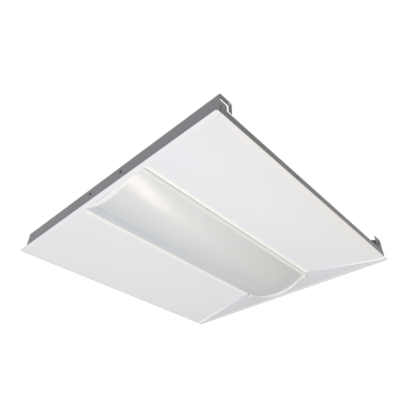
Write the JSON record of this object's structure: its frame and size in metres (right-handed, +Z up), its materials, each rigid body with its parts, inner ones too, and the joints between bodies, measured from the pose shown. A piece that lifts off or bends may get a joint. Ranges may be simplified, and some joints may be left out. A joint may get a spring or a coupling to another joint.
{
  "type": "recessed troffer light",
  "caption": "Lay-in ceiling troffer: white sloped wings either side of a bowed frosted lens, in a grey steel frame with fold-out grid clips and a wiring box on its back.",
  "frame": {"origin": "centre of the room face, on the plane of the rim that lies on the grid", "axes": "+X along the lens, +Y across it, +Z up into the ceiling"},
  "size_m": [0.603, 0.603, 0.0861],
  "materials": {
    "frame_steel": "grey coated sheet steel, satin",
    "reflector_white": "baked white enamel, low gloss",
    "lens_frosted": "frosted opal acrylic, satin",
    "cap_white": "moulded white, satin",
    "rail_white": "extruded white, satin",
    "board_white": "white solder mask",
    "led_phosphor": "phosphor gel, unlit",
    "connector_white": "moulded nylon",
    "nylon": "natural nylon",
    "zinc": "bright zinc plate",
    "rivet": "bright",
    "driver_can": "white enamel can",
    "driver_cap": "moulded, fine texture",
    "terminal_grey": "moulded",
    "ground_green": "green plated",
    "lead_jacket": "smooth jacket",
    "bushing_black": "moulded nylon"
  },
  "bodies": {
    "housing": {"end_plate_near": "frame_steel", "end_plate_far": "frame_steel", "side_rail_left": "frame_steel", "side_rail_right": "frame_steel", "spine_channel": "frame_steel", "driver_box": "frame_steel", "knockout_slug": "frame_steel", "side_panel_left": "reflector_white", "side_panel_right": "reflector_white", "end_reflector_near": "reflector_white", "end_reflector_far": "reflector_white", "led_tray": "reflector_white", "lens_rail_left": "rail_white", "lens_rail_right": "rail_white", "led_board_left": "board_white", "led_board_right": "board_white", "led_packages_left": "led_phosphor", "led_packages_right": "led_phosphor", "board_connectors": "connector_white", "tray_standoffs": "nylon", "tray_screws": "zinc", "board_screws": "zinc", "driver_case": "driver_can", "driver_cap_input": "driver_cap", "driver_cap_output": "driver_cap", "driver_screws": "zinc", "terminal_block": "terminal_grey", "ground_screw": "ground_green", "supply_leads": "lead_jacket", "led_leads": "lead_jacket", "lead_bushing": "bushing_black", "box_rivets": "rivet", "end_plate_screws": "zinc"},
    "lens_assembly": {"lens": "lens_frosted", "lens_end_cap_near": "cap_white", "lens_end_cap_far": "cap_white"},
    "wiring_cover": {"driver_box_cover": "frame_steel", "cover_screws": "zinc"},
    "grid_clip_near_right_body": {"grid_clip_near_right": "frame_steel"},
    "grid_clip_near_left_body": {"grid_clip_near_left": "frame_steel"},
    "grid_clip_far_right_body": {"grid_clip_far_right": "frame_steel"},
    "grid_clip_far_left_body": {"grid_clip_far_left": "frame_steel"}
  },
  "joints": [
    {"name": "lens_pull_down", "type": "slide", "parent": "housing", "child": "lens_assembly", "axis": [0, 0, -1], "range_m": [0, 0.06]},
    {"name": "cover_lift", "type": "slide", "parent": "housing", "child": "wiring_cover", "axis": [0, 0, 1], "range_m": [0, 0.06]},
    {"name": "clip_fold_near_right", "type": "hinge", "parent": "housing", "child": "grid_clip_near_right_body", "pos_m": [-0.2902, -0.2991, 0.04462], "axis": [0, 0, -1], "range_deg": [0, 90]},
    {"name": "clip_fold_near_left", "type": "hinge", "parent": "housing", "child": "grid_clip_near_left_body", "pos_m": [-0.2902, 0.2991, 0.04462], "axis": [0, 0, 1], "range_deg": [0, 90]},
    {"name": "clip_fold_far_right", "type": "hinge", "parent": "housing", "child": "grid_clip_far_right_body", "pos_m": [0.2902, -0.2991, 0.04462], "axis": [0, 0, 1], "range_deg": [0, 90]},
    {"name": "clip_fold_far_left", "type": "hinge", "parent": "housing", "child": "grid_clip_far_left_body", "pos_m": [0.2902, 0.2991, 0.04462], "axis": [0, 0, -1], "range_deg": [0, 90]}
  ]
}
